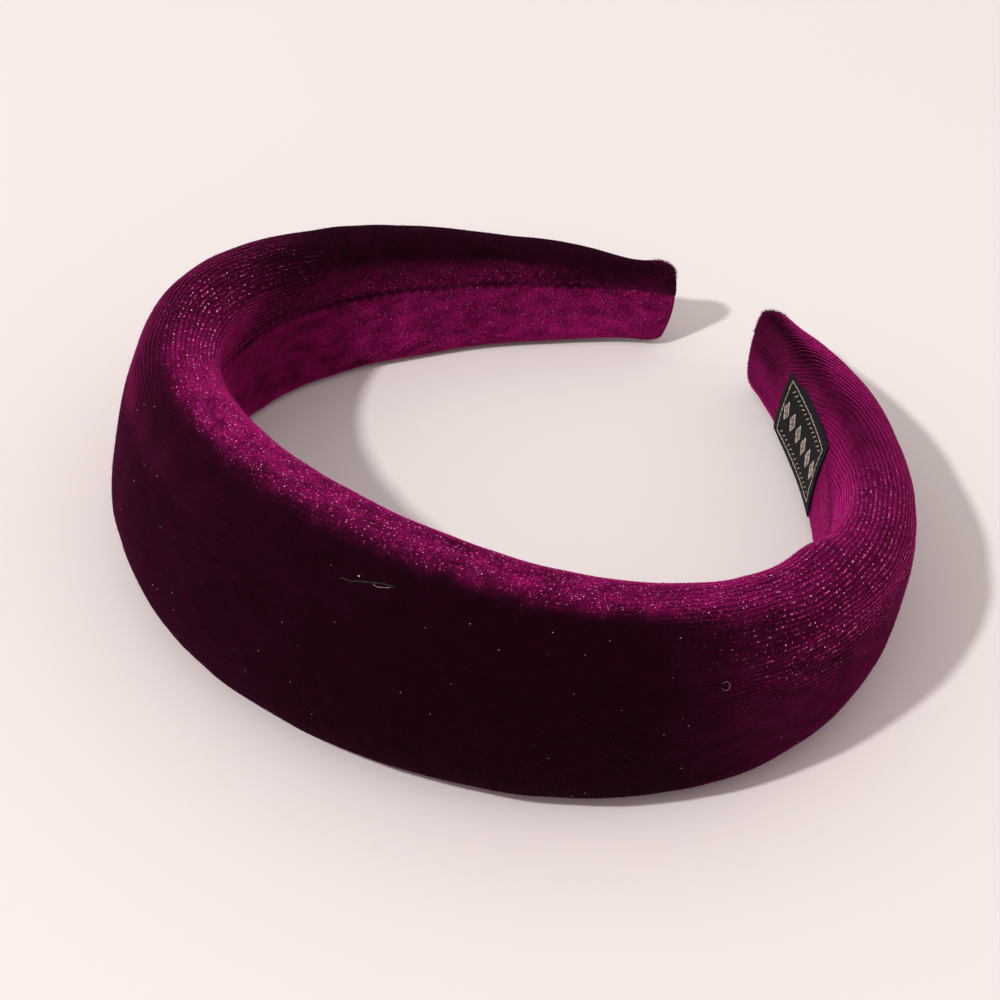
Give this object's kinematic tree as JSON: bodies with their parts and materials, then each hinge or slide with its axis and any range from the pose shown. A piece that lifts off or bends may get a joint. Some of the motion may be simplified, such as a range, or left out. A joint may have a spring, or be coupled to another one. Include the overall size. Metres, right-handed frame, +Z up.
{
  "type": "padded velvet headband",
  "caption": "Wide padded velvet headband bent to a nearly closed C, foam-filled, with a woven label inside one arm, lying on its side.",
  "frame": {"origin": "middle of the footprint, on the surface that the band lies on", "axes": "+Z up from the surface, across the band; -Y towards the crown, +Y towards the two ends; +X towards the arm with the label"},
  "size_m": [0.1516, 0.1506, 0.0459],
  "materials": {
    "velvet": "dark plum velvet with a magenta sheen, fine lengthwise ribs and metallic specks in the pile",
    "woven_label": "matt black woven ribbon with a plain pale woven border"
  },
  "bodies": {
    "root": {"padded_band": "velvet", "label": "woven_label"}
  },
  "joints": []
}
